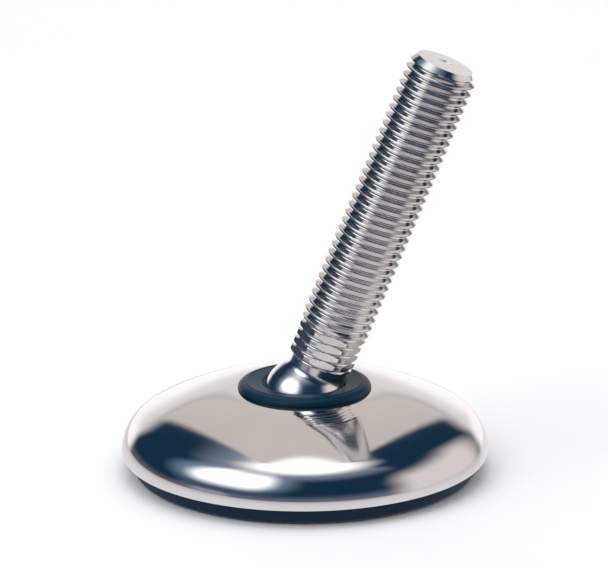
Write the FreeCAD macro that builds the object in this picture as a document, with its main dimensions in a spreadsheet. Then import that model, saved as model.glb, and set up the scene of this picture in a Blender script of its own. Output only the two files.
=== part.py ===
import FreeCAD, Part
import math
import os
import Sketcher

# Ball-jointed levelling foot: a threaded stem with a ball end stands in a round domed base.
# Frame: origin at the centre of the base on the floor, +Z up, the stem leans towards +X.
# Lengths are millimetres and angles are degrees.

SIZES = [
    # stem, along its own axis from the centre of the ball
    ("ball_height", 20.6, "centre of the ball above the floor"),
    ("ball_radius", 12.0, "ball at the lower end of the stem"),
    ("rest_tilt", 22.0, "lean of the stem from the vertical as it is stored"),
    ("neck_radius", 8.25, "plain neck between ball and hexagon"),
    ("thread_radius", 10.0, "nominal M20 thread"),
    ("hexagon_flats", 17.0, "spanner size, across flats"),
    ("hexagon_start", 11.9, "lower end of the hexagon, from the ball's centre"),
    ("hexagon_length", 11.1, "length of the hexagon along the stem"),
    ("hexagon_turn", 6.0, "turn of the flats about the stem"),
    ("hexagon_round", 9.3, "turned radius over the corners of the hexagon"),
    ("neck_fillet", 3.0, "rounding between ball and neck"),
    ("stem_length", 104.7, "ball centre to the stem's end face"),
    ("end_chamfer", 2.6, "chamfer at the end, along the stem"),
    ("end_radius", 8.0, "flat end face"),
    ("centre_mark", 2.4, "radius of the centre drilling"),
    ("centre_depth", 1.6, "depth of the centre drilling"),
    # domed cover
    ("dome_radius", 51.62, "widest radius of the dome"),
    ("dome_widest", 5.99, "height of the widest place"),
    ("dome_wall", 2.5, "thickness of the sheet"),
    ("dome_trim", 5.05, "height of the trimmed edge"),
    ("lip_radius", 1.29, "rounding from the widest place down to the trimmed edge"),
    ("shoulder_radius", 11.76, "rounding of the shoulder"),
    ("shoulder_end", 62.2, "slope angle where the shoulder ends"),
    ("flank_radius", 82.65, "gently curved flank"),
    ("flank_end", 69.8, "slope angle where the flank ends"),
    ("crown_radius", 46.29, "crown, which ends level"),
    ("dome_hole", 17.3, "radius of the hole in the crown"),
    # ball socket
    ("joint_play", 0.1, "radial play of ball, cup and bush"),
    ("cup_radius", 13.5, "outside of the cup"),
    ("cup_reach", 65.0, "angle that the cup covers from its lowest point"),
    ("bush_radius", 14.6, "outside of the upper bush"),
    ("bush_bottom", 20.9, "height of the bush's lower face"),
    ("bush_top", 23.2, "height of the bush's flange"),
    ("collar_top", 24.2, "height of the bush's collar"),
    ("collar_radius", 12.7, "outside of the bush's collar"),
    ("ring_thickness", 1.0, "snap ring"),
    ("ring_inner", 13.7, "inner radius of the snap ring"),
    ("ring_outer", 15.4, "outer radius of the snap ring"),
    ("ring_gap", 13.0, "half the angle of the snap ring's gap"),
    ("ring_lug", 13.1, "inner radius of the snap ring's lugs"),
    ("lug_width", 9.0, "angle of each lug"),
    ("lug_hole", 0.6, "radius of the holes in the lugs"),
    ("ring_play", 0.1, "clearance of the snap ring in its groove"),
    ("hub_bottom", 4.0, "underside of the hub's spigot"),
    ("spigot_radius", 18.0, "spigot through the base plate"),
    ("flange_radius", 30.0, "hub flange"),
    ("flange_top", 16.6, "height of the hub flange's upper face"),
    ("hub_radius", 19.3, "hub body under the dome"),
    ("neck_hub", 17.2, "hub collar inside the dome's hole"),
    ("hub_top", 24.9, "top of the hub collar"),
    # seal
    ("seal_hole", 12.0, "upper edge of the seal's hole"),
    ("seal_lip", 11.45, "lip next to the ball"),
    ("seal_lip_height", 24.75, "height of the lip"),
    ("seal_inner_top", 25.45, "top of the seal at its hole"),
    ("seal_outer_top", 25.9, "top of the seal at its border"),
    ("seal_border", 16.4, "border of the seal's flat top"),
    ("seal_radius", 18.78, "outside of the seal on the dome"),
    ("seal_bulge", 2.6, "rounding of the seal's rim"),
    ("lip_slant", 0.15, "how far the lip's underside slants outwards"),
    ("lip_depth", 0.25, "height of the lip"),
    ("lip_root", 12.7, "where the lip meets the seal's underside"),
    # base plate, screws and tread
    ("plate_bottom", 5.6, "underside of the base plate"),
    ("plate_thickness", 3.0, "base plate"),
    ("plate_radius", 48.6, "base plate"),
    ("screw_circle", 24.5, "radius of the screw circle"),
    ("screw_count", 4, "screws through the base plate"),
    ("screw_radius", 2.5, "M5 screws"),
    ("screw_length", 10.0, "screw length with its head"),
    ("screw_play", 0.05, "radial play of the screws and of the hub's spigot"),
    ("hole_spare", 0.5, "depth of the tapped holes past the screws"),
    ("head_radius", 5.0, "countersunk head"),
    ("head_depth", 2.8, "countersunk head"),
    ("socket_flats", 3.0, "hexagon socket in the screw head"),
    ("socket_depth", 1.7, "hexagon socket in the screw head"),
    ("pad_radius", 48.0, "rubber tread"),
    ("pad_recess", 18.3, "recess in the tread for the hub's spigot"),
    ("pad_chamfer", 0.8, "chamfer round the foot of the tread"),
    ("tread_depth", 1.5, "grooves in the tread"),
    ("tread_width", 2.0, "grooves in the tread"),
    ("tread_first", 15.0, "radius of the innermost ring groove"),
    ("tread_step", 7.5, "distance between ring grooves"),
    ("tread_spokes", 12, "radial grooves"),
    ("tread_margin", 4.0, "plain rim outside the radial grooves"),
]
RING_GROOVES = 4

doc = FreeCAD.newDocument("leveling_foot")
sheet = doc.addObject("Spreadsheet::Sheet", "sizes")
for row, (alias, value, note) in enumerate(SIZES, start=1):
    sheet.set(f"A{row}", note)
    sheet.set(f"B{row}", str(value))
    sheet.setAlias(f"B{row}", alias)
doc.recompute()


def number(expression):
    """The value of an expression on the sheet's cells."""
    result = sheet.evalExpression(expression)
    return float(getattr(result, "Value", result))


def onCircle(centre, radius, angle):
    """The point of a circle at an angle in degrees, as two expressions."""
    across = f"({centre[0]}) + ({radius}) * cos(({angle}) * 1 deg)"
    up = f"({centre[1]}) + ({radius}) * sin(({angle}) * 1 deg)"
    return across, up


def newBody(label):
    body = doc.addObject("PartDesign::Body", label)
    body.Label = label
    return body


def newSketch(body, name, plane, height=None):
    """A sketch on one of the body's own origin planes, raised to a height if one is given."""
    sketch = body.newObject("Sketcher::SketchObject", name)
    origin = [feature for feature in body.Origin.OriginFeatures if feature.Role == plane]
    sketch.AttachmentSupport = [(origin[0], "")]
    sketch.MapMode = "FlatFace"
    if height is not None:
        sketch.setExpression("AttachmentOffset.Base.z", height)
    return sketch


def arcThrough(start, end, radius, turn):
    """A short arc between two points; turn is 1 for anticlockwise and -1 for clockwise."""
    chord = end - start
    middle = (start + end) * 0.5
    left = FreeCAD.Vector(-chord.y, chord.x, 0).normalize()
    rise = math.sqrt(max(radius**2 - (chord.Length / 2) ** 2, 0.0))
    centre = middle + left * rise * turn
    first, last = (start, end) if turn > 0 else (end, start)
    angles = [math.atan2(point.y - centre.y, point.x - centre.x) for point in (first, last)]
    circle = Part.Circle(centre, FreeCAD.Vector(0, 0, 1), radius)
    return Part.ArcOfCircle(circle, angles[0], angles[1])


def pinPoint(sketch, edge, end, point):
    """Fixes one end of an edge at a point given as two expressions."""
    for kind, expression in zip(("DistanceX", "DistanceY"), point):
        constraint = Sketcher.Constraint(kind, -1, 1, edge, end, number(expression))
        index = sketch.addConstraint(constraint)
        sketch.setExpression(f"Constraints[{index}]", expression)


def drawOutline(sketch, corners):
    """A closed outline. A corner is (across, up) for a straight edge to the next corner,
    or (across, up, radius, turn) for a short arc to the next corner."""
    places = [FreeCAD.Vector(number(c[0]), number(c[1]), 0) for c in corners]
    ends = []
    for index, corner in enumerate(corners):
        start, end = places[index], places[(index + 1) % len(corners)]
        if len(corner) == 2:
            edge = sketch.addGeometry(Part.LineSegment(start, end))
            ends.append((edge, 1, 2))
        else:
            arc = arcThrough(start, end, number(corner[2]), corner[3])
            edge = sketch.addGeometry(arc)
            ends.append((edge, 1, 2) if corner[3] > 0 else (edge, 2, 1))
    for index, corner in enumerate(corners):
        edge, first, last = ends[index]
        following, begin, _ = ends[(index + 1) % len(corners)]
        pinPoint(sketch, edge, first, corner[:2])
        sketch.addConstraint(Sketcher.Constraint("Coincident", edge, last, following, begin))
        if len(corner) == 4:
            radius = Sketcher.Constraint("Radius", edge, number(corner[2]))
            place = sketch.addConstraint(radius)
            sketch.setExpression(f"Constraints[{place}]", corner[2])


def drawCircle(sketch, centre, radius):
    place = FreeCAD.Vector(number(centre[0]), number(centre[1]), 0)
    circle = Part.Circle(place, FreeCAD.Vector(0, 0, 1), number(radius))
    edge = sketch.addGeometry(circle)
    pinPoint(sketch, edge, 3, centre)
    index = sketch.addConstraint(Sketcher.Constraint("Radius", edge, number(radius)))
    sketch.setExpression(f"Constraints[{index}]", radius)


def revolve(body, name, corners):
    """A full turn of an outline, drawn on XZ, about the body's Z axis."""
    sketch = newSketch(body, name + "_outline", "XZ_Plane")
    drawOutline(sketch, corners)
    turned = body.newObject("PartDesign::Revolution", name)
    turned.Profile = sketch
    turned.ReferenceAxis = (sketch, ["V_Axis"])
    turned.Angle = 360
    return turned


def pocket(body, name, sketch, length, upwards):
    """A pocket from the sketch's plane, upwards or downwards. It has to take something away."""
    before = body.Tip.Shape.Volume
    cut = body.newObject("PartDesign::Pocket", name)
    cut.Profile = sketch
    cut.setExpression("Length", length)
    cut.Reversed = upwards
    doc.recompute()
    if cut.Shape.Volume > before - 1e-3:
        raise RuntimeError(f"{name} cuts nothing")
    return cut


def repeatAround(body, name, feature, count):
    """Copies of a feature all round the body's Z axis."""
    pattern = body.newObject("PartDesign::PolarPattern", name)
    pattern.Originals = [feature]
    axis = [part for part in body.Origin.OriginFeatures if part.Role == "Z_Axis"]
    pattern.Axis = (axis[0], [""])
    pattern.Angle = 360
    pattern.setExpression("Occurrences", count)
    body.Tip = pattern
    doc.recompute()
    return pattern


def lean(body):
    """Puts a body drawn about the ball's centre on the ball joint, leaning as stored."""
    body.Placement = FreeCAD.Placement(
        FreeCAD.Vector(0, 0, 0), FreeCAD.Rotation(FreeCAD.Vector(0, 1, 0), 1)
    )
    body.setExpression("Placement.Base.z", "sizes.ball_height")
    body.setExpression("Placement.Rotation.Angle", "sizes.rest_tilt * 1 deg")


def makeStem():
    """Stem, turned from one bar: ball, neck, hexagon, thread at its nominal size."""
    body = newBody("stem")
    neck = "sizes.neck_radius"
    reach = "(sizes.neck_radius + sizes.neck_fillet)"
    span = "(sizes.ball_radius + sizes.neck_fillet)"
    rise = f"sqrt({span} ^ 2 - {reach} ^ 2)"
    meet = (f"{reach} * sizes.ball_radius / {span}", f"{rise} * sizes.ball_radius / {span}")
    hexagonEnd = "sizes.hexagon_start + sizes.hexagon_length"
    chamfer = "sizes.stem_length - sizes.end_chamfer"
    revolve(body, "stem_turned", [
        ("0", "-sizes.ball_radius", "sizes.ball_radius", 1),
        ("sizes.ball_radius", "0", "sizes.ball_radius", 1),
        meet + ("sizes.neck_fillet", -1),
        (neck, rise),
        (neck, "sizes.hexagon_start"),
        ("sizes.hexagon_round", "sizes.hexagon_start"),
        ("sizes.hexagon_round", hexagonEnd),
        ("sizes.thread_radius", hexagonEnd),
        ("sizes.thread_radius", chamfer),
        ("sizes.end_radius", "sizes.stem_length"),
        ("sizes.centre_mark", "sizes.stem_length"),
        ("0", "sizes.stem_length - sizes.centre_depth"),
    ])
    doc.recompute()
    sketch = newSketch(body, "hexagon_outline", "XY_Plane", "sizes.hexagon_start")
    corner = "sizes.hexagon_flats / 2 / cos(30 deg)"
    drawOutline(sketch, [
        onCircle(("0", "0"), corner, f"{60 * side} + sizes.hexagon_turn") for side in range(6)
    ])
    drawCircle(sketch, ("0", "0"), "sizes.thread_radius * 1.1")
    pocket(body, "hexagon_flats", sketch, "sizes.hexagon_length", True)
    lean(body)
    return body


def domeCentres():
    """Centres of the shoulder, flank and crown arcs of the dome, as expressions."""
    shoulder = ("sizes.dome_radius - sizes.shoulder_radius", "sizes.dome_widest")
    flank = onCircle(shoulder, "sizes.shoulder_radius - sizes.flank_radius", "sizes.shoulder_end")
    crown = onCircle(flank, "sizes.flank_radius - sizes.crown_radius", "sizes.flank_end")
    return shoulder, flank, crown


def makeDome():
    """Cover, drawn from sheet: an even wall under a smooth dome, trimmed near the floor."""
    body = newBody("dome_cover")
    shoulder, flank, crown = domeCentres()
    shoulderInside = "sizes.shoulder_radius - sizes.dome_wall"
    flankInside = "sizes.flank_radius - sizes.dome_wall"
    crownInside = "sizes.crown_radius - sizes.dome_wall"
    drop = "(sizes.dome_widest - sizes.dome_trim)"
    trim = f"sizes.dome_radius - sizes.lip_radius + sqrt(sizes.lip_radius ^ 2 - {drop} ^ 2)"
    inside = "sizes.dome_radius - sizes.dome_wall"
    crownOutside = onCircle(crown, "sizes.crown_radius", "90")
    crownUnder = onCircle(crown, crownInside, "90")
    revolve(body, "dome_drawn", [
        (trim, "sizes.dome_trim", "sizes.lip_radius", 1),
        ("sizes.dome_radius", "sizes.dome_widest", "sizes.shoulder_radius", 1),
        onCircle(shoulder, "sizes.shoulder_radius", "sizes.shoulder_end") + ("sizes.flank_radius", 1),
        onCircle(flank, "sizes.flank_radius", "sizes.flank_end") + ("sizes.crown_radius", 1),
        crownOutside,
        ("sizes.dome_hole", crownOutside[1]),
        ("sizes.dome_hole", crownUnder[1]),
        crownUnder + (crownInside, -1),
        onCircle(flank, flankInside, "sizes.flank_end") + (flankInside, -1),
        onCircle(shoulder, shoulderInside, "sizes.shoulder_end") + (shoulderInside, -1),
        (inside, "sizes.dome_widest"),
        (inside, "sizes.dome_trim"),
    ])
    return body


def domeTop():
    """Height of the level top of the crown, as an expression."""
    return onCircle(domeCentres()[2], "sizes.crown_radius", "90")[1]


def makeHub():
    """Socket hub, turned: seat for the cup, bore for the bush, groove for the snap ring."""
    body = newBody("socket_hub")
    seat = "sizes.cup_radius + sizes.joint_play"
    bore = "sizes.bush_radius + sizes.joint_play / 2"
    plateTop = "sizes.plate_bottom + sizes.plate_thickness"
    underDome = f"{domeTop()} - sizes.dome_wall"
    grooveTop = "sizes.bush_top + sizes.ring_thickness + sizes.ring_play"
    grooveWall = "sizes.ring_outer + sizes.ring_play"
    revolve(body, "hub_turned", [
        ("0", "sizes.hub_bottom"),
        ("sizes.spigot_radius", "sizes.hub_bottom"),
        ("sizes.spigot_radius", plateTop),
        ("sizes.flange_radius", plateTop),
        ("sizes.flange_radius", "sizes.flange_top"),
        ("sizes.hub_radius", "sizes.flange_top"),
        ("sizes.hub_radius", underDome),
        ("sizes.neck_hub", underDome),
        ("sizes.neck_hub", "sizes.hub_top"),
        (bore, "sizes.hub_top"),
        (bore, grooveTop),
        (grooveWall, grooveTop),
        (grooveWall, "sizes.bush_top"),
        (bore, "sizes.bush_top"),
        (bore, "sizes.bush_bottom"),
        (seat, "sizes.bush_bottom"),
        (seat, "sizes.ball_height", seat, -1),
        ("0", f"sizes.ball_height - ({seat})"),
    ])
    doc.recompute()
    sketch = newSketch(body, "tapped_hole_outline", "XY_Plane", plateTop)
    drawCircle(sketch, ("sizes.screw_circle", "0"), "sizes.screw_radius")
    depth = "sizes.screw_length - sizes.plate_thickness + sizes.hole_spare"
    hole = pocket(body, "tapped_hole", sketch, depth, True)
    repeatAround(body, "tapped_holes", hole, "sizes.screw_count")
    return body


def makeCup():
    """Lower half of the plastic bearing: a ball cup that tilts with the stem in its seat."""
    body = newBody("thrust_cup")
    inside = "sizes.ball_radius + sizes.joint_play"
    rim = "-sizes.cup_radius * cos(sizes.cup_reach * 1 deg)"
    rimInside = f"sqrt(({inside}) ^ 2 - (sizes.cup_radius * cos(sizes.cup_reach * 1 deg)) ^ 2)"
    revolve(body, "cup_moulded", [
        ("0", "-sizes.cup_radius", "sizes.cup_radius", 1),
        ("sizes.cup_radius * sin(sizes.cup_reach * 1 deg)", rim),
        (rimInside, rim, inside, -1),
        ("0", f"-({inside})"),
    ])
    lean(body)
    return body


def makeBush():
    """Upper half of the plastic bearing: it holds the ball down and turns in the hub."""
    body = newBody("retaining_bush")
    inside = "(sizes.ball_radius + sizes.joint_play)"
    low = f"sqrt({inside} ^ 2 - (sizes.bush_bottom - sizes.ball_height) ^ 2)"
    high = f"sqrt({inside} ^ 2 - (sizes.collar_top - sizes.ball_height) ^ 2)"
    revolve(body, "bush_moulded", [
        (low, "sizes.bush_bottom"),
        ("sizes.bush_radius", "sizes.bush_bottom"),
        ("sizes.bush_radius", "sizes.bush_top"),
        ("sizes.collar_radius", "sizes.bush_top"),
        ("sizes.collar_radius", "sizes.collar_top"),
        (high, "sizes.collar_top", inside, -1),
    ])
    return body


def makeSnapRing():
    """Snap ring with two drilled lugs, in the groove of the hub above the bush."""
    body = newBody("snap_ring")
    centre = ("0", "0")
    gap = "sizes.ring_gap"
    lugWidth = "sizes.lug_width"
    sketch = newSketch(body, "ring_outline", "XY_Plane", "sizes.bush_top + sizes.ring_play / 2")
    outer = [onCircle(centre, "sizes.ring_outer", f"{gap} + {turn} * (180 - {gap})") for turn in (0, 1)]
    otherOuter = onCircle(centre, "sizes.ring_outer", f"-({gap})")
    lugInner = onCircle(centre, "sizes.ring_lug", f"-({gap})")
    lugEnd = onCircle(centre, "sizes.ring_lug", f"-({gap}) - {lugWidth}")
    innerStart = onCircle(centre, "sizes.ring_inner", f"-({gap}) - {lugWidth}")
    innerBack = onCircle(centre, "sizes.ring_inner", "180")
    innerEnd = onCircle(centre, "sizes.ring_inner", f"{gap} + {lugWidth}")
    firstLug = onCircle(centre, "sizes.ring_lug", f"{gap} + {lugWidth}")
    firstLugInner = onCircle(centre, "sizes.ring_lug", gap)
    drawOutline(sketch, [
        outer[0] + ("sizes.ring_outer", 1),
        outer[1] + ("sizes.ring_outer", 1),
        otherOuter,
        lugInner + ("sizes.ring_lug", -1),
        lugEnd,
        innerStart + ("sizes.ring_inner", -1),
        innerBack + ("sizes.ring_inner", -1),
        innerEnd,
        firstLug + ("sizes.ring_lug", -1),
        firstLugInner,
    ])
    for side in (1, -1):
        middle = "(sizes.ring_lug + sizes.ring_outer) / 2"
        hole = onCircle(centre, middle, f"{side} * ({gap} + {lugWidth} / 2)")
        drawCircle(sketch, hole, "sizes.lug_hole")
    ring = body.newObject("PartDesign::Pad", "ring_stamped")
    ring.Profile = sketch
    ring.setExpression("Length", "sizes.ring_thickness - sizes.ring_play / 2")
    return body


def makeSeal():
    """Rubber seal: a lip at the ball, a flat top and a rounded rim that rests on the dome."""
    body = newBody("seal_ring")
    under = "sizes.hub_top"
    revolve(body, "seal_moulded", [
        ("sizes.seal_lip", "sizes.seal_lip_height"),
        ("sizes.seal_lip + sizes.lip_slant", "sizes.seal_lip_height - sizes.lip_depth"),
        ("sizes.lip_root", under),
        ("sizes.neck_hub", under),
        ("sizes.neck_hub", f"{domeTop()}"),
        ("sizes.seal_radius", f"{domeTop()}", "sizes.seal_bulge", 1),
        ("sizes.seal_border", "sizes.seal_outer_top"),
        ("sizes.seal_hole", "sizes.seal_inner_top"),
    ])
    return body


def makePlate():
    """Base plate: a steel disc that spreads the hub's load, with countersunk screw holes."""
    body = newBody("base_plate")
    top = "sizes.plate_bottom + sizes.plate_thickness"
    revolve(body, "plate_disc", [
        ("sizes.spigot_radius + sizes.screw_play", "sizes.plate_bottom"),
        ("sizes.plate_radius", "sizes.plate_bottom"),
        ("sizes.plate_radius", top),
        ("sizes.spigot_radius + sizes.screw_play", top),
    ])
    doc.recompute()
    sketch = newSketch(body, "screw_hole_outline", "XY_Plane", "sizes.plate_bottom")
    drawCircle(sketch, ("sizes.screw_circle", "0"), "sizes.screw_radius")
    hole = pocket(body, "screw_hole", sketch, "sizes.plate_thickness", True)
    holes = repeatAround(body, "screw_holes", hole, "sizes.screw_count")
    radius = number("sizes.screw_radius")
    bottom = number("sizes.plate_bottom")
    mouths = []
    for index, edge in enumerate(holes.Shape.Edges, start=1):
        isRound = edge.Curve.TypeId == "Part::GeomCircle" and abs(edge.Curve.Radius - radius) < 1e-6
        if isRound and abs(edge.BoundBox.ZMax - bottom) < 1e-6:
            mouths.append(f"Edge{index}")
    sink = body.newObject("PartDesign::Chamfer", "countersinks")
    sink.Base = (holes, mouths)
    sink.ChamferType = "Two distances"
    sink.setExpression("Size", "sizes.head_radius - sizes.screw_radius")
    sink.setExpression("Size2", "sizes.head_depth")
    return body


def makeScrews():
    """Countersunk screws from below, one group of separate screws."""
    screws = []
    for index in range(int(number("sizes.screw_count"))):
        head = doc.addObject("Part::Cone", f"screw_head_{index}")
        head.setExpression("Radius1", "sizes.head_radius - sizes.screw_play")
        head.setExpression("Radius2", "sizes.screw_radius - sizes.screw_play")
        head.setExpression("Height", "sizes.head_depth")
        shank = doc.addObject("Part::Cylinder", f"screw_shank_{index}")
        shank.setExpression("Radius", "sizes.screw_radius - sizes.screw_play")
        shank.setExpression("Height", "sizes.screw_length")
        blank = doc.addObject("Part::Fuse", f"screw_blank_{index}")
        blank.Base = head
        blank.Tool = shank
        key = doc.addObject("Part::Prism", f"screw_key_{index}")
        key.Polygon = 6
        key.setExpression("Circumradius", "sizes.socket_flats / 2 / cos(30 deg)")
        key.setExpression("Height", "sizes.socket_depth")
        screw = doc.addObject("Part::Cut", f"screw_{index}")
        screw.Base = blank
        screw.Tool = key
        turn = f"({index} * 360 / sizes.screw_count)"
        across, along = onCircle(("0", "0"), "sizes.screw_circle", turn)
        screw.setExpression("Placement.Base.x", across)
        screw.setExpression("Placement.Base.y", along)
        screw.setExpression("Placement.Base.z", "sizes.plate_bottom")
        screws.append(screw)
    group = doc.addObject("Part::Compound", "plate_screws")
    group.Links = screws
    group.Label = "plate_screws"
    return group


def makePad():
    """Rubber tread: a disc under the plate, with ring grooves and radial grooves below."""
    body = newBody("tread_pad")
    width = "sizes.tread_width"
    depth = "sizes.tread_depth"
    recess = "sizes.pad_recess"
    corners = [("0", "0")]
    for index in range(RING_GROOVES):
        near = f"sizes.tread_first + {index} * sizes.tread_step"
        corners += [(near, "0"), (near, depth)]
        corners += [(f"{near} + {width}", depth), (f"{near} + {width}", "0")]
    corners += [
        ("sizes.pad_radius - sizes.pad_chamfer", "0"),
        ("sizes.pad_radius", "sizes.pad_chamfer"),
        ("sizes.pad_radius", "sizes.plate_bottom"),
        (recess, "sizes.plate_bottom"),
        (recess, "sizes.hub_bottom"),
        ("0", "sizes.hub_bottom"),
    ]
    revolve(body, "pad_moulded", corners)
    doc.recompute()
    sketch = newSketch(body, "radial_groove_outline", "XY_Plane")
    start = f"sizes.tread_first + {width} / 2"
    end = "sizes.pad_radius - sizes.tread_margin"
    drawOutline(sketch, [
        (start, f"-{width} / 2"),
        (end, f"-{width} / 2"),
        (end, f"{width} / 2"),
        (start, f"{width} / 2"),
    ])
    groove = pocket(body, "radial_groove", sketch, depth, True)
    repeatAround(body, "radial_grooves", groove, "sizes.tread_spokes")
    return body


pieces = [
    makeStem(),
    makeDome(),
    makeHub(),
    makeCup(),
    makeBush(),
    makeSnapRing(),
    makeSeal(),
    makePlate(),
    makeScrews(),
    makePad(),
]
doc.recompute()

for item in doc.Objects:
    if "Invalid" in item.State or "Error" in item.State:
        raise RuntimeError(f"{item.Label} did not recompute: {item.State}")
for piece in pieces:
    if piece.Shape.isNull() or not piece.Shape.isValid() or not piece.Shape.Solids:
        raise RuntimeError(f"{piece.Label} has no valid shape")

os.makedirs("parts", exist_ok=True)
for piece in pieces:
    piece.Shape.exportStep(f"parts/{piece.Label}.step")
    print(f"{piece.Label}: {len(piece.Shape.Solids)} solid(s), {piece.Shape.Volume:.0f} mm3")
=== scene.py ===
import math
import bmesh
import bpy
from mathutils import Matrix, Vector


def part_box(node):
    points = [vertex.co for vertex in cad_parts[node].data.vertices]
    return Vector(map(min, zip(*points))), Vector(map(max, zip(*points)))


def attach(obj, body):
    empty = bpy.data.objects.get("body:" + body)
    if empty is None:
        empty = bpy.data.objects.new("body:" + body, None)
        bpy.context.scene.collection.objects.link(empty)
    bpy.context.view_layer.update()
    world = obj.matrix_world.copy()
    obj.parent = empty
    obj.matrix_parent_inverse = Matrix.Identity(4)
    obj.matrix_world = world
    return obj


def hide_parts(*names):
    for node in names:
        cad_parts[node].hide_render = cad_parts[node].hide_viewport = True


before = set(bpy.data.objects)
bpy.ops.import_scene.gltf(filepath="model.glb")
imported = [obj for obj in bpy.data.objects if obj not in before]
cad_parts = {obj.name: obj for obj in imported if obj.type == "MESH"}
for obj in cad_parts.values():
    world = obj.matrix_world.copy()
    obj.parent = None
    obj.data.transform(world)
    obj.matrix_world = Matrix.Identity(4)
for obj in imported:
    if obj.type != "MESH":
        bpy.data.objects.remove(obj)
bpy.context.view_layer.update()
mm = 0.001
weldReach = 0.0005   # mm, corners closer than this are the same
cutReach = 0.0001    # mm, a corner this near a cut lies on it


cameraSetup = {
    "azimuth": 7.17,      # degrees round the foot, 0 looks along +Y
    "elevation": 19.07,
    "distance": 1.0184,   # metres from the centre of the tread
    "pitch": 2.91,        # then tipped up
    "roll": -0.34,
    "lens": 212.96,
    "sensorWidth": 36,
}


def addObject(name, data):
    made = bpy.data.objects.new(name, data)
    bpy.context.scene.collection.objects.link(made)
    return made


def meshObject(name, bm, material):
    mesh = bpy.data.meshes.new(name)
    bm.to_mesh(mesh)
    bm.free()
    mesh.materials.append(material)
    return addObject(name, mesh)


def directionAt(azimuth, elevation):
    side, up = math.radians(azimuth), math.radians(elevation)
    return Vector((math.sin(side) * math.cos(up), -math.cos(side) * math.cos(up), math.sin(up)))


def makeCamera():
    data = bpy.data.cameras.new("camera")
    data.lens = cameraSetup["lens"]
    data.sensor_width = cameraSetup["sensorWidth"]
    camera = addObject("camera", data)
    back = directionAt(cameraSetup["azimuth"], cameraSetup["elevation"])
    aim = (-back).to_track_quat("-Z", "Y").to_matrix().to_4x4()
    tip = Matrix.Rotation(math.radians(cameraSetup["pitch"]), 4, "X")
    roll = Matrix.Rotation(math.radians(cameraSetup["roll"]), 4, "Z")
    camera.matrix_world = Matrix.Translation(back * cameraSetup["distance"]) @ aim @ tip @ roll
    bpy.context.scene.camera = camera


makeCamera()
bpy.context.scene.view_settings.view_transform = "Standard"
print("camera set")


def newTree(name):
    material = bpy.data.materials.new(name)
    material.use_nodes = True
    material.node_tree.nodes.clear()
    return material, material.node_tree


def setSocket(tree, socket, value):
    if isinstance(value, bpy.types.NodeSocket):
        tree.links.new(value, socket)
    else:
        socket.default_value = value


def addNode(tree, kind, settings=None, **sockets):
    # sockets go by name, with _ for a space, or by place as i0, i1, i2
    node = tree.nodes.new(kind)
    for key, value in (settings or {}).items():
        setattr(node, key, value)
    for key, value in sockets.items():
        place = int(key[1:]) if key[0] == "i" and key[1:].isdigit() else key.replace("_", " ")
        setSocket(tree, node.inputs[place], value)
    return node


def calc(tree, operation, first, second=0.0, third=0.0):
    node = addNode(tree, "ShaderNodeMath", {"operation": operation}, i0=first, i1=second, i2=third)
    return node.outputs[0]


def vectorCalc(tree, operation, first, second=(0, 0, 0)):
    node = addNode(tree, "ShaderNodeVectorMath", {"operation": operation}, i0=first, i1=second)
    return node.outputs["Value" if operation == "LENGTH" else "Vector"]


def fade(tree, value, start, end, low=0.0, high=1.0, curve="SMOOTHSTEP"):
    node = addNode(tree, "ShaderNodeMapRange", {"interpolation_type": curve},
                   Value=value, From_Min=start, From_Max=end, To_Min=low, To_Max=high)
    return node.outputs[0]


def mixColour(tree, share, first, second):
    # a colour mix has its two colours at inputs 6 and 7, and gives output 2
    node = addNode(tree, "ShaderNodeMix", {"data_type": "RGBA"}, Factor=share)
    for place, value in ((6, first), (7, second)):
        setSocket(tree, node.inputs[place], (*value, 1) if isinstance(value, tuple) else value)
    return node.outputs[2]


def noise(tree, place, scale, detail, roughness=0.5, dimensions="3D"):
    node = addNode(tree, "ShaderNodeTexNoise", {"noise_dimensions": dimensions}, Vector=place, Scale=scale,
                   Detail=detail, Roughness=roughness)
    return node.outputs[0]


def showSurface(tree, shader):
    addNode(tree, "ShaderNodeOutputMaterial", Surface=shader.outputs[0])


# the tent is a big sphere of soft light round the foot, dark but for its cards
studio = {
    "tentRadius": 1.5,
    "tentFineness": 4,
    "floorSize": 12.0,
    "floorDrop": 0.00005,   # the floor lies this far under the tread
    "floorColour": (0.93, 0.925, 0.92, 1),
    "floorRoughness": 0.9,
    "backdrop": (1, 1, 1, 1),
    "fillSize": 6.0,
    "fillHeight": 3.0,
    "fillPower": 125.0,
    "dark": (0.009, 0.034, 0.072),
    # each card: azimuth from the camera's side, half width, elevation, half height, flare,
    # softness, corner, colour; all but the flare and the colour in degrees
    "cards": {
        "hazeLeft": (-108, 76, -2, 4, 0, 7, 4, (0.14, 0.14, 0.17)),
        "stripLeft": (-60, 12, -17, 20, 0, 6, 6, (1.5, 1.47, 1.47)),
        "hazeFront": (6, 88, -1, 7, 0, 11, 7, (0.16, 0.19, 0.28)),
        "slateLeft": (-56, 45, 44, 25, 0, 14, 25, (0.22, 0.33, 0.45)),
        "slateArch": (-50, 130, 62, 6, 0, 11, 6, (0.24, 0.29, 0.39)),
        "reflector": (97, 36, -1, 36, 0, 13, 14, (0.84, 0.78, 0.775)),
        "shadeRight": (130, 26, -31, 20, 0, 6, 8, (0.012, 0.036, 0.07)),
        "softbox": (-54, 28, 42, 16.5, 0, 12, 14, (2.15, 2.2, 2.2)),
        "overhead": (0, 400, 90, 20, 0, 9, 0, (1.6, 1.6, 1.62)),
        "backMid": (180, 36, 5, 18, 0, 6, 12, (0.85, 0.815, 0.825)),
        "backLow": (180, 40, -8, 20, 0, 6, 10, (1.16, 1.13, 1.14)),
        "backPanel": (180, 30.2, 47.2, 25.1, 0.27, 1.5, 1.5, (0.69, 0.635, 0.61)),
    },
}

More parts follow.
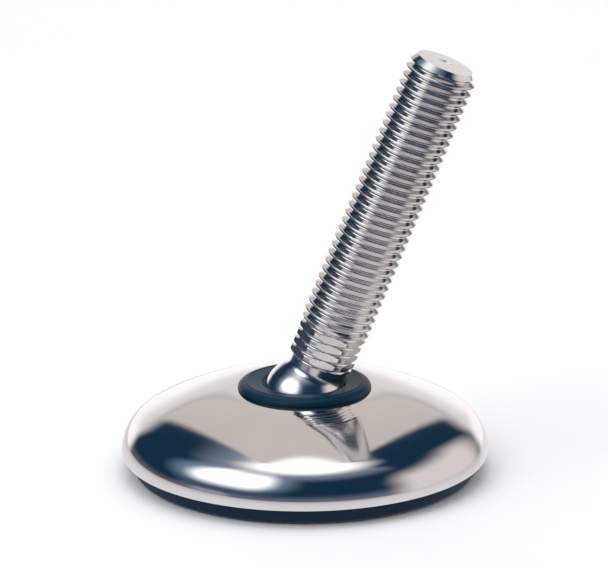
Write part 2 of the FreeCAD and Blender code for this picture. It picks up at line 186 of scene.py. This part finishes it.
# the lit patch of floor round the foot, as polished steel mirrors it
litFloor = {
    "centre": (-0.03, -0.05, 0),
    "reach": (0.14, 0.18, 1),   # half axes of the patch
    "soft": 0.35,               # share of them over which it fades
    "size": 0.6,
    "height": 0.0001,
    "colour": (0.64, 0.59, 0.60),
    "nearColour": (0.84, 0.83, 0.87),
    "nearStart": 0.06,
    "nearEnd": 0.13,
}


def cardMask(tree, azimuth, elevation, side, halfWidth, up, halfHeight, flare, soft, corner):
    # rounded rectangle with soft edges: distance to its border, then a fade
    turned = calc(tree, "ABSOLUTE", calc(tree, "WRAP", calc(tree, "SUBTRACT", azimuth, side), 180, -180))
    raised = calc(tree, "SUBTRACT", elevation, up)
    turned = calc(tree, "SUBTRACT", turned, calc(tree, "MULTIPLY", raised, flare))
    across = calc(tree, "SUBTRACT", turned, halfWidth - corner)
    along = calc(tree, "SUBTRACT", calc(tree, "ABSOLUTE", raised), halfHeight - corner)
    past = addNode(tree, "ShaderNodeCombineXYZ", i0=calc(tree, "MAXIMUM", across, 0),
                   i1=calc(tree, "MAXIMUM", along, 0)).outputs[0]
    outside = vectorCalc(tree, "LENGTH", past)
    inside = calc(tree, "MINIMUM", calc(tree, "MAXIMUM", across, along), 0)
    return fade(tree, calc(tree, "ADD", outside, inside), corner - soft, corner + soft, 1, 0)


def makeTent():
    material, tree = newTree("tent_light")
    place = addNode(tree, "ShaderNodeTexCoord").outputs["Object"]
    ray = vectorCalc(tree, "NORMALIZE", place)
    axes = addNode(tree, "ShaderNodeSeparateXYZ", i0=ray).outputs
    angle = calc(tree, "ARCTAN2", axes[0], calc(tree, "MULTIPLY", axes[1], -1))
    azimuth = calc(tree, "SUBTRACT", calc(tree, "DEGREES", angle), cameraSetup["azimuth"])
    elevation = calc(tree, "DEGREES", calc(tree, "ARCSINE", axes[2]))
    colour = studio["dark"]
    for *outline, cardColour in studio["cards"].values():
        colour = mixColour(tree, cardMask(tree, azimuth, elevation, *outline), colour, cardColour)
    showSurface(tree, addNode(tree, "ShaderNodeEmission", Color=colour, Strength=1.0))
    material.cycles.emission_sampling = "NONE"
    bm = bmesh.new()
    bmesh.ops.create_icosphere(bm, subdivisions=studio["tentFineness"], radius=studio["tentRadius"])
    tent = meshObject("light_tent", bm, material)
    tent.visible_camera = False
    tent.visible_shadow = False


def flatSquare(size, centre):
    bm = bmesh.new()
    bmesh.ops.create_grid(bm, x_segments=1, y_segments=1, size=size / 2)
    bmesh.ops.translate(bm, verts=bm.verts, vec=centre)
    return bm


def makeLitFloor():
    # only polished surfaces see it; the floor itself carries the shadow
    material, tree = newTree("lit_floor_glow")
    place = addNode(tree, "ShaderNodeTexCoord").outputs["Object"]
    offset = vectorCalc(tree, "SUBTRACT", place, litFloor["centre"])
    distance = vectorCalc(tree, "LENGTH", vectorCalc(tree, "DIVIDE", offset, litFloor["reach"]))
    reach = fade(tree, distance, 1 - litFloor["soft"], 1 + litFloor["soft"], 1, 0)
    near = vectorCalc(tree, "LENGTH", place)
    shade = mixColour(tree, fade(tree, near, litFloor["nearStart"], litFloor["nearEnd"]),
                      litFloor["nearColour"], litFloor["colour"])
    glow = addNode(tree, "ShaderNodeEmission", Color=shade, Strength=1.0)
    clear = addNode(tree, "ShaderNodeBsdfTransparent")
    mixed = addNode(tree, "ShaderNodeMixShader", i0=reach, i1=clear.outputs[0], i2=glow.outputs[0])
    showSurface(tree, mixed)
    material.cycles.emission_sampling = "NONE"
    middle = (*litFloor["centre"][:2], litFloor["height"])
    patch = meshObject("lit_floor", flatSquare(litFloor["size"], middle), material)
    patch.visible_camera = False
    patch.visible_diffuse = False
    patch.visible_transmission = False
    patch.visible_shadow = False


def makeFloor():
    material, tree = newTree("floor_paint")
    shader = addNode(tree, "ShaderNodeBsdfPrincipled", Base_Color=studio["floorColour"],
                     Roughness=studio["floorRoughness"], Specular_IOR_Level=0.0)
    showSurface(tree, shader)
    floor = meshObject("floor", flatSquare(studio["floorSize"], (0, 0, -studio["floorDrop"])), material)
    floor.visible_glossy = False   # polished steel mirrors the lit patch and the tent instead


def makeBackdrop():
    # plain light backdrop that only the camera sees
    world = bpy.data.worlds.new("studio")
    world.use_nodes = True
    background = world.node_tree.nodes["Background"].inputs
    background["Color"].default_value = studio["backdrop"]
    background["Strength"].default_value = 1.0
    world.cycles_visibility.diffuse = False
    world.cycles_visibility.glossy = False
    bpy.context.scene.world = world


def makeFill():
    # soft light from above that polished surfaces don't mirror
    data = bpy.data.lights.new("fill", "AREA")
    data.shape = "DISK"
    data.size = studio["fillSize"]
    data.energy = studio["fillPower"]
    fill = addObject("fill", data)
    fill.location = (0, 0, studio["fillHeight"])
    fill.visible_glossy = False


makeTent()
makeLitFloor()
makeFloor()
makeBackdrop()
makeFill()
print("studio set")


# what all the steels share, with scales per millimetre
steelLook = {
    "markDetail": 3.0,
    "markRoughness": 0.6,
    "markRange": (0.3, 0.7),
    "cloudScale": 0.05,
    "cloudDetail": 3.0,
    "cloudRange": (0.35, 0.65),
    "tintRange": (0.3, 0.7),
    "grainScale": 4.0,
    "grainDetail": 2.0,
    "grainShare": 0.15,
    "bumpReach": 0.02,      # mm
}
# what the rubbers and the plastic share
rubberLook = {
    "speckDetail": 4.0,
    "speckRoughness": 0.7,
    "speckRange": (0.3, 0.7),
    "bloomScale": 0.12,
    "bloomDetail": 3.0,
    "bloomRange": (0.35, 0.7),
    "dustRange": (0.05, 0.14),
    "bumpReach": 0.05,      # mm
    "refraction": 1.5,
}


def localPlace(tree, centre, tilt):
    # object coordinates seen from a point, with the tilt about Y taken off, in millimetres
    place = addNode(tree, "ShaderNodeTexCoord").outputs["Object"]
    moved = vectorCalc(tree, "SUBTRACT", place, centre)
    turned = addNode(tree, "ShaderNodeMapping", {"vector_type": "POINT"}, Vector=moved,
                     Rotation=(0, -tilt, 0), Scale=(1 / mm, 1 / mm, 1 / mm))
    return turned.outputs[0]


def ringPlace(tree, place):
    # radius from the axis and height along it, as the coordinates that turning marks follow
    axes = addNode(tree, "ShaderNodeSeparateXYZ", i0=place).outputs
    flat = addNode(tree, "ShaderNodeCombineXYZ", i0=axes[0], i1=axes[1]).outputs[0]
    return vectorCalc(tree, "LENGTH", flat), axes[2]


def makeSteel(name, centre, tilt, finish):
    look = steelLook
    material, tree = newTree(name)
    place = localPlace(tree, centre, tilt)
    radius, height = ringPlace(tree, place)
    rings = addNode(tree, "ShaderNodeCombineXYZ", i0=calc(tree, "MULTIPLY", radius, finish["ringsAcross"]),
                    i1=calc(tree, "MULTIPLY", height, finish["ringsAlong"])).outputs[0]
    marks = noise(tree, rings, 1.0, look["markDetail"], look["markRoughness"], "2D")
    cloud = noise(tree, place, look["cloudScale"], look["cloudDetail"])
    grain = noise(tree, place, look["grainScale"], look["grainDetail"])
    rough = fade(tree, marks, *look["markRange"], finish["smoothest"], finish["roughest"], "LINEAR")
    if "satin" in finish:
        # the ball is finished duller than the turned shank
        reach = vectorCalc(tree, "LENGTH", place)
        dull = fade(tree, reach, finish["satinStart"], finish["satinEnd"], finish["satin"], 0)
        rough = calc(tree, "ADD", rough, dull)
    haze = fade(tree, cloud, *look["cloudRange"], -finish["haze"], finish["haze"], "LINEAR")
    tint = mixColour(tree, fade(tree, cloud, *look["tintRange"]), finish["colour"], finish["colourShade"])
    relief = calc(tree, "ADD", marks, calc(tree, "MULTIPLY", grain, look["grainShare"]))
    bump = addNode(tree, "ShaderNodeBump", Strength=finish["markDepth"], Distance=look["bumpReach"] * mm,
                   Height=relief)
    shader = addNode(tree, "ShaderNodeBsdfPrincipled", Base_Color=tint, Metallic=1.0,
                     Roughness=calc(tree, "ADD", rough, haze), Normal=bump.outputs[0])
    showSurface(tree, shader)
    return material


def makeRubber(name, finish):
    look = rubberLook
    material, tree = newTree(name)
    place = localPlace(tree, (0, 0, 0), 0)
    speck = noise(tree, place, finish["speckScale"], look["speckDetail"], look["speckRoughness"])
    bloom = noise(tree, place, look["bloomScale"], look["bloomDetail"])
    dust = addNode(tree, "ShaderNodeTexVoronoi", Vector=place, Scale=finish["dustScale"]).outputs["Distance"]
    dusty = fade(tree, dust, *look["dustRange"], finish["dust"], 0.0)
    shade = mixColour(tree, fade(tree, bloom, *look["bloomRange"]), finish["colour"], finish["bloomColour"])
    colour = mixColour(tree, dusty, shade, finish["dustColour"])
    rough = fade(tree, speck, *look["speckRange"], finish["smoothest"], finish["roughest"], "LINEAR")
    bump = addNode(tree, "ShaderNodeBump", Strength=finish["grainDepth"], Distance=look["bumpReach"] * mm,
                   Height=speck)
    shader = addNode(tree, "ShaderNodeBsdfPrincipled", Base_Color=colour, Roughness=rough,
                     IOR=look["refraction"], Specular_IOR_Level=finish["gloss"],
                     Specular_Tint=finish["glossColour"], Normal=bump.outputs[0])
    showSurface(tree, shader)
    return material


def arcPoints(centre, radius, start, end, count):
    points = []
    for step in range(count + 1):
        angle = math.radians(start + (end - start) * step / count)
        points.append((centre[0] + radius * math.cos(angle), centre[1] + radius * math.sin(angle)))
    return points


def addOutline(bm, outline, closed):
    verts = [bm.verts.new((across, 0, up)) for across, up in outline]
    pairs = list(zip(verts, verts[1:]))
    if closed:
        pairs.append((verts[-1], verts[0]))
    return verts, [bm.edges.new(pair) for pair in pairs]


def finishMesh(bm, name, material, sharpAngle, placement=Matrix.Scale(mm, 4)):
    bmesh.ops.recalc_face_normals(bm, faces=bm.faces)
    bmesh.ops.transform(bm, matrix=placement, verts=bm.verts)
    piece = meshObject(name, bm, material)
    piece.data.shade_smooth()
    piece.data.set_sharp_from_angle(angle=math.radians(sharpAngle))
    return piece


def turnedPiece(name, outline, steps, material, sharpAngle):
    # a closed outline turned about Z
    bm = bmesh.new()
    verts, edges = addOutline(bm, outline, True)
    bmesh.ops.spin(bm, geom=verts + edges, cent=(0, 0, 0), axis=(0, 0, 1), angle=math.tau,
                   steps=steps, use_merge=True)
    bmesh.ops.remove_doubles(bm, verts=bm.verts, dist=weldReach)
    return finishMesh(bm, name, material, sharpAngle)


# sizes in mm and degrees, heights along the stem from the ball's centre
stemShape = {
    "ballHeight": 20.6,     # ball's centre above the floor
    "ballRadius": 12.0,
    "ballEnd": -88,         # the ball's last ring, below its centre
    "ballSteps": 48,
    "tilt": 22.0,
    "neckRadius": 8.25,
    "neckFillet": 3.0,
    "filletSteps": 8,
    "pitch": 2.5,
    "crest": 10.0,          # outer radius of the thread
    "depth": 1.534,
    "crestRound": 0.27,
    "crestSteps": 6,
    "rootRound": 0.361,
    "rootSteps": 3,
    "flankAngle": 30.0,
    "flankPoints": 4,
    "phase": 24.3,          # height of a crest on the +X side
    "turnSteps": 96,
    "turnWeld": 0.001,      # how near the turns are before they are welded
    "spareTurns": 3,        # cut off at both ends of the shank
    "sides": 6,
    "flats": 17.0,
    "flatsTurn": 6.0,
    "hexStart": 11.9,
    "hexEnd": 23.0,
    "hexRound": 9.3,        # the hexagon's corners are turned down to this radius
    "hexRoundTop": 19.5,    # and run out above this height
    "runOut": 0.12,
    "hexRim": 8.45,         # the chamfer under the hexagon starts at this radius
    "rimSlope": 1.1,
    "end": 104.7,
    "endRadius": 8.0,
    "endSlope": 0.77,
    "markRadius": 2.4,      # centre mark in the end face
    "markInner": 1.65,
    "markCore": 0.25,       # its last ring, as a share of the inner one
    "markDepth": 0.08,      # each of its two steps
    "edge": 0.12,           # broken edge under the hexagon
    "sharpAngle": 28,
}


def between(start, end, count):
    # points on a straight line, without its two ends
    shares = [(step + 1) / (count + 1) for step in range(count)]
    return [tuple(a + (b - a) * share for a, b in zip(start, end)) for share in shares]


def threadOutline():
    # one pitch of the thread from root to root, crest and root rounded
    flank, count = stemShape["flankAngle"], stemShape["flankPoints"]
    pitch, crest, tip = stemShape["pitch"], stemShape["crest"], stemShape["crestRound"]
    bend, bendSteps = stemShape["rootRound"], stemShape["rootSteps"]
    low = (crest - stemShape["depth"] + bend, -pitch / 2)
    high = (low[0], pitch / 2)
    rootUp = arcPoints(low, bend, 180, 90 + flank, bendSteps)
    crown = arcPoints((crest - tip, 0), tip, flank - 90, 90 - flank, stemShape["crestSteps"])
    rootDown = arcPoints(high, bend, -90 - flank, -180, bendSteps)
    return (rootUp + between(rootUp[-1], crown[0], count) + crown
            + between(crown[-1], rootDown[0], count) + rootDown)


def allowedRadius(height):
    # turned limits: end chamfer, corners of the hexagon and the chamfer under it
    allowed = stemShape["endRadius"] + (stemShape["end"] - height) * stemShape["endSlope"]
    corner = stemShape["hexRound"] + max(height - stemShape["hexRoundTop"], 0) * stemShape["runOut"]
    rim = stemShape["hexRim"] + (height - stemShape["hexStart"]) * stemShape["rimSlope"]
    return min(allowed, corner, rim)


def partsOf(faces):
    # faces with their edges and corners, as the cutting operator wants them
    edges = {edge for face in faces for edge in face.edges}
    verts = {vert for face in faces for vert in face.verts}
    return list(verts) + list(edges) + list(faces)


def vertsIn(made):
    return [item for item in made if isinstance(item, bmesh.types.BMVert)]


def midHeight(face):
    return face.calc_center_median().z


def isLevel(vert, height):
    return abs(vert.co.z - height) < weldReach


def atHeight(edge, height):
    return all(isLevel(vert, height) for vert in edge.verts)


def openLoop(bm, height):
    return [edge for edge in bm.edges if edge.is_boundary and atHeight(edge, height)]


def cutFlat(bm, normal, low, top):
    # takes the metal outside one flat away below the top, and scores the thread above it
    point = normal * stemShape["flats"] / 2
    above = [face for face in bm.faces if midHeight(face) > top
             and any(atHeight(edge, top) for edge in face.edges)]
    bmesh.ops.bisect_plane(bm, geom=partsOf(above), dist=cutReach, plane_co=point, plane_no=normal)
    below = [face for face in bm.faces if midHeight(face) < top]
    bmesh.ops.bisect_plane(bm, geom=partsOf(below), dist=cutReach, plane_co=point, plane_no=normal,
                           clear_outer=True)

    def onFlat(vert):
        return abs((vert.co - point).dot(normal)) < weldReach

    # straight edges close the cut at its bottom and top, then it is filled
    along = Vector((-normal.y, normal.x, 0))
    rim = {vert for edge in bm.edges if edge.is_boundary for vert in edge.verts if onFlat(vert)}
    for height in (low, top):
        row = sorted((vert for vert in rim if isLevel(vert, height)
                      and any(midHeight(face) < top for face in vert.link_faces)),
                     key=lambda vert: vert.co.dot(along))
        for first, last in zip(row[0::2], row[1::2]):
            if bm.edges.get((first, last)) is None:
                bm.edges.new((first, last))
    border = [edge for edge in bm.edges if len(edge.link_faces) < 2
              and all(onFlat(vert) and vert.co.z < top + weldReach for vert in edge.verts)
              and not any(midHeight(face) > top for face in edge.link_faces)]
    bmesh.ops.triangle_fill(bm, edges=border, use_beauty=True, normal=normal)


def millHexagon(bm):
    # mills the flats below hexEnd, where a level ledge joins them to the full thread
    low, top, sides = stemShape["hexStart"], stemShape["hexEnd"], stemShape["sides"]
    bmesh.ops.bisect_plane(bm, geom=partsOf(bm.faces), dist=cutReach, plane_co=(0, 0, top),
                           plane_no=(0, 0, 1))
    bmesh.ops.split_edges(bm, edges=[edge for edge in bm.edges if atHeight(edge, top)])
    for side in range(sides):
        angle = math.radians(360 / sides * side - 90 + stemShape["flatsTurn"])
        cutFlat(bm, Vector((math.cos(angle), math.sin(angle), 0)), low, top)
    bmesh.ops.remove_doubles(bm, verts=bm.verts, dist=weldReach)
    bmesh.ops.triangle_fill(bm, edges=openLoop(bm, top), use_beauty=True, normal=(0, 0, -1))


def nextRing(bm, edges, radius, height):
    made = bmesh.ops.extrude_edge_only(bm, edges=edges)["geom"]
    for vert in vertsIn(made):
        flat = Vector((vert.co.x, vert.co.y)).normalized() * radius
        vert.co = (flat.x, flat.y, height)
    return [item for item in made if isinstance(item, bmesh.types.BMEdge)
            and all(abs(vert.co.z - height) < cutReach for vert in item.verts)
            and all(abs(Vector(vert.co[:2]).length - radius) < cutReach for vert in item.verts)]


def closeEnd(bm, rim, outline, tip):
    # carries the open rim along an outline of radii and heights, and closes it at the tip
    loop = openLoop(bm, rim)
    for radius, height in outline:
        loop = nextRing(bm, loop, radius, height)
    verts = list({vert for edge in loop for vert in edge.verts})
    bmesh.ops.pointmerge(bm, verts=verts, merge_co=(0, 0, tip))


def ballOutline():
    # from the hexagon down the neck and its fillet, round the ball
    ball, neck, fillet = stemShape["ballRadius"], stemShape["neckRadius"], stemShape["neckFillet"]
    start, edge = stemShape["hexStart"], stemShape["edge"]
    rise = math.sqrt((ball + fillet) ** 2 - (neck + fillet) ** 2)
    meet = math.degrees(math.atan2(rise, neck + fillet))
    curve = arcPoints((neck + fillet, rise), fillet, 180, 180 + meet, stemShape["filletSteps"])
    globe = arcPoints((0, 0), ball, meet, stemShape["ballEnd"], stemShape["ballSteps"])[1:]
    return [(neck + edge, start), (neck, start - edge)] + curve + globe


def endOutline():
    # level end face with a shallow turned centre mark
    end, mark, inner = stemShape["end"], stemShape["markRadius"], stemShape["markInner"]
    deep = stemShape["markDepth"]
    return [(mark + deep, end), (mark, end - deep), (inner + deep, end - deep), (inner, end - deep * 2),
            (inner * stemShape["markCore"], end - deep * 2)]


def threadedShank():
    # one turn of the thread is spun, copied up the shank, and cut off level at both ends
    bm = bmesh.new()
    pitch, start, end = stemShape["pitch"], stemShape["hexStart"], stemShape["end"]
    turns = math.ceil((end - start) / pitch) + stemShape["spareTurns"]
    first = stemShape["phase"] - pitch * (math.ceil((stemShape["phase"] - start) / pitch) + 1)
    outline = [(radius, first + height) for radius, height in threadOutline()]
    verts, edges = addOutline(bm, outline, False)
    bmesh.ops.spin(bm, geom=verts + edges, cent=(0, 0, 0), axis=(0, 0, 1), angle=math.tau,
                   dvec=(0, 0, pitch / stemShape["turnSteps"]), steps=stemShape["turnSteps"])
    oneTurn = bm.verts[:] + bm.edges[:] + bm.faces[:]
    for turn in range(1, turns):
        copied = bmesh.ops.duplicate(bm, geom=oneTurn)["geom"]
        bmesh.ops.translate(bm, verts=vertsIn(copied), vec=(0, 0, pitch * turn))
    bmesh.ops.remove_doubles(bm, verts=bm.verts, dist=stemShape["turnWeld"])
    for height, above in ((start, False), (end, True)):
        bmesh.ops.bisect_plane(bm, geom=partsOf(bm.faces), dist=cutReach, plane_co=(0, 0, height),
                               plane_no=(0, 0, 1), clear_outer=above, clear_inner=not above)
    return bm


def makeStem(material):
    bm = threadedShank()
    for vert in bm.verts:
        share = allowedRadius(vert.co.z) / math.hypot(vert.co.x, vert.co.y)
        if share < 1:
            vert.co.x *= share
            vert.co.y *= share
    millHexagon(bm)
    end = stemShape["end"]
    closeEnd(bm, stemShape["hexStart"], ballOutline(), -stemShape["ballRadius"])
    closeEnd(bm, end, endOutline(), end - stemShape["markDepth"] * 2)
    tilt = Matrix.Rotation(math.radians(stemShape["tilt"]), 4, "Y")
    place = Matrix.Scale(mm, 4) @ Matrix.Translation((0, 0, stemShape["ballHeight"])) @ tilt
    stem = finishMesh(bm, "threaded_stem", material, stemShape["sharpAngle"], place)
    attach(stem, "stem")
    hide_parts("stem")


ballCentre = (0, 0, stemShape["ballHeight"] * mm)
stemFinish = {
    "colour": (0.80, 0.775, 0.765), "colourShade": (0.77, 0.745, 0.73),
    "smoothest": 0.06, "roughest": 0.13, "haze": 0.01,
    "ringsAcross": 9.0, "ringsAlong": 9.0, "markDepth": 0.25,
    "satin": 0.07, "satinStart": 12.3, "satinEnd": 13.2,
}
stemSteel = makeSteel("stem_steel", ballCentre, math.radians(stemShape["tilt"]), stemFinish)
makeStem(stemSteel)
print("stem made")


# the dome's outer side is three arcs in line, from the widest place up to the hole
domeShape = {
    "widest": 5.99,         # height of the widest place
    "wall": 2.5,
    "trim": 5.05,           # height of the lower edge
    "hole": 17.3,
    "lip": 1.29, "lipSteps": 10,            # radii and steps of the arcs
    "shoulder": 11.76, "shoulderSteps": 40,
    "flank": 82.65, "flankSteps": 10,
    "crown": 46.29, "crownSteps": 24,
    "shoulderEnd": 62.2,    # degrees at which the shoulder and the flank end
    "flankEnd": 69.8,
    "edge": 0.12,           # broken edges of the hole and the trim
    "steps": 256,
    "sharpAngle": 30,
}


def domeOutline():
    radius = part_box("dome_cover")[1].x / mm
    wall, lip, widest = domeShape["wall"], domeShape["lip"], domeShape["widest"]
    hole, edge, trim = domeShape["hole"], domeShape["edge"], domeShape["trim"]
    trimAngle = -math.degrees(math.asin((widest - trim) / lip))
    shoulder, shoulderEnd, flankEnd = domeShape["shoulder"], domeShape["shoulderEnd"], domeShape["flankEnd"]
    arcs = [((radius - shoulder, widest), shoulder, 0, shoulderEnd, domeShape["shoulderSteps"])]
    for size, start, end, count in (
            (domeShape["flank"], shoulderEnd, flankEnd, domeShape["flankSteps"]),
            (domeShape["crown"], flankEnd, 90, domeShape["crownSteps"])):
        centre, before = arcs[-1][:2]
        arcs.append((arcPoints(centre, before - size, start, start, 1)[0], size, start, end, count))
    outline = arcPoints((radius - lip, widest), lip, trimAngle, 0, domeShape["lipSteps"])
    for centre, size, start, end, count in arcs:
        outline += arcPoints(centre, size, start, end, count)[1:]
    top = outline[-1][1]
    outline += [(hole + edge, top), (hole, top - edge), (hole, top - wall)]
    for centre, size, start, end, count in reversed(arcs):
        outline += arcPoints(centre, size - wall, end, start, count)[:-1]
    inner = radius - wall
    outline += [(inner, widest), (inner, trim + edge), (inner + edge, trim)]
    return outline


domeFinish = {
    "colour": (0.79, 0.765, 0.75), "colourShade": (0.76, 0.735, 0.72),
    "smoothest": 0.045, "roughest": 0.085, "haze": 0.01,
    "ringsAcross": 5.0, "ringsAlong": 5.0, "markDepth": 0.05,
}
domeSteel = makeSteel("dome_steel", (0, 0, 0), 0, domeFinish)
dome = turnedPiece("polished_dome", domeOutline(), domeShape["steps"], domeSteel, domeShape["sharpAngle"])
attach(dome, "base")
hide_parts("dome_cover")
print("dome made")


sealShape = {
    "lip": 11.45, "lipHeight": 24.75,
    "lipEdge": (0.15, 0.25),             # the lip's slanting lower edge
    "hole": 12.0, "holeTop": 25.45,
    "holeRound": 0.28, "holeSteps": 5,
    "undercut": 0.7,                     # from the hole to the level underside
    "under": 24.92,
    "border": 16.3, "borderTop": 25.66,
    "foot": 18.78, "footHeight": 23.7, "footEdge": 0.1,
    "collar": 17.22,
    "rim": (16.35, 23.72, 2.43, 2.02),   # centre and half axes of the rounded rim
    "rimArc": (4, 82, 16),               # degrees it starts and ends at, and its steps
    "bead": 0.13,                        # fine bead where the flat top meets the rim
    "beadLift": 0.1,
    "beadArc": (30, 170, 6),
    "steps": 192,
    "sharpAngle": 50,
}


def sealOutline():
    shape = sealShape
    across, up, wide, tall = shape["rim"]
    edgeAcross, edgeDown = shape["lipEdge"]
    outline = [(shape["lip"], shape["lipHeight"]),
               (shape["lip"] + edgeAcross, shape["lipHeight"] - edgeDown),
               (shape["hole"] + shape["undercut"], shape["under"]),
               (shape["collar"], shape["under"]), (shape["collar"], shape["footHeight"]),
               (shape["foot"] - shape["footEdge"], shape["footHeight"])]
    outline += [(across + wide * x, up + tall * y) for x, y in arcPoints((0, 0), 1, *shape["rimArc"])]
    beadCentre = (shape["border"], shape["borderTop"] + shape["beadLift"])
    outline += arcPoints(beadCentre, shape["bead"], *shape["beadArc"])
    holeCentre = (shape["hole"] + shape["holeRound"], shape["holeTop"] - shape["holeRound"])
    outline += arcPoints(holeCentre, shape["holeRound"], 90, 180, shape["holeSteps"])
    return outline


sealFinish = {
    "colour": (0.001, 0.020, 0.042), "bloomColour": (0.002, 0.024, 0.048), "dustColour": (0.06, 0.08, 0.11),
    "dust": 0.2, "dustScale": 2.2, "speckScale": 3.0, "grainDepth": 0.25,
    "smoothest": 0.36, "roughest": 0.5, "gloss": 0.24, "glossColour": (0.72, 0.92, 1, 1),
}
sealRubber = makeRubber("seal_rubber", sealFinish)
seal = turnedPiece("rubber_seal", sealOutline(), sealShape["steps"], sealRubber, sealShape["sharpAngle"])
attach(seal, "base")
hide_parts("seal_ring")
print("seal made")


treadShape = {
    "edge": 0.25,           # radius of its rounded edges, mm
    "edgeSteps": 2,
    "edgeAngle": 35,        # edges that turn more than this are rounded
    "flatWithin": 0.5,      # faces that turn less than this are joined
    "merge": 1e-6,          # metres
    "sharpAngle": 40,
}
treadFinish = {
    "colour": (0.0035, 0.019, 0.047), "bloomColour": (0.006, 0.025, 0.058), "dustColour": (0.08, 0.10, 0.14),
    "dust": 0.25, "dustScale": 1.6, "speckScale": 2.5, "grainDepth": 0.5,
    "smoothest": 0.5, "roughest": 0.7, "gloss": 0.25, "glossColour": (0.72, 0.92, 1, 1),
}


def makeTread(material):
    # the moulded tread, with its edges rounded
    bm = bmesh.new()
    bm.from_mesh(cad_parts["tread_pad"].data)
    bmesh.ops.remove_doubles(bm, verts=bm.verts, dist=treadShape["merge"])
    bmesh.ops.dissolve_limit(bm, angle_limit=math.radians(treadShape["flatWithin"]), verts=bm.verts,
                             edges=bm.edges)
    sharp = [edge for edge in bm.edges if edge.is_manifold
             and edge.calc_face_angle() > math.radians(treadShape["edgeAngle"])]
    bmesh.ops.bevel(bm, geom=sharp, offset=treadShape["edge"] * mm, offset_type="OFFSET", affect="EDGES",
                    segments=treadShape["edgeSteps"], profile=0.5, material=-1, clamp_overlap=True)
    tread = finishMesh(bm, "rubber_tread", material, treadShape["sharpAngle"], Matrix.Identity(4))
    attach(tread, "base")
    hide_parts("tread_pad")


makeTread(makeRubber("tread_rubber", treadFinish))
print("tread made")


insideFinish = {
    "socket_hub": {"colour": (0.62, 0.62, 0.63), "colourShade": (0.55, 0.55, 0.56), "smoothest": 0.22,
                   "roughest": 0.38, "haze": 0.03, "ringsAcross": 6.0, "ringsAlong": 6.0, "markDepth": 0.5},
    "base_plate": {"colour": (0.60, 0.61, 0.62), "colourShade": (0.52, 0.53, 0.55), "smoothest": 0.30,
                   "roughest": 0.45, "haze": 0.05, "ringsAcross": 1.5, "ringsAlong": 1.5, "markDepth": 0.3},
    "plate_screws": {"colour": (0.55, 0.55, 0.56), "colourShade": (0.48, 0.49, 0.50), "smoothest": 0.25,
                     "roughest": 0.4, "haze": 0.03, "ringsAcross": 3.0, "ringsAlong": 3.0, "markDepth": 0.3},
    "snap_ring": {"colour": (0.22, 0.22, 0.24), "colourShade": (0.16, 0.16, 0.18), "smoothest": 0.35,
                  "roughest": 0.55, "haze": 0.05, "ringsAcross": 2.0, "ringsAlong": 2.0, "markDepth": 0.3},
}
plasticFinish = {
    "colour": (0.80, 0.79, 0.75), "bloomColour": (0.74, 0.73, 0.69), "dustColour": (0.6, 0.59, 0.55),
    "dust": 0.15, "dustScale": 1.5, "speckScale": 3.5, "grainDepth": 0.15,
    "smoothest": 0.35, "roughest": 0.5, "gloss": 0.5, "glossColour": (1, 1, 1, 1),
}


def dressNode(node, material):
    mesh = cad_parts[node].data
    mesh.materials.clear()
    mesh.materials.append(material)


for node, finish in insideFinish.items():
    dressNode(node, makeSteel(node + "_steel", (0, 0, 0), 0, finish))
bearingPlastic = makeRubber("bearing_plastic", plasticFinish)
for node in ("thrust_cup", "retaining_bush"):
    dressNode(node, bearingPlastic)
print("inside parts dressed")
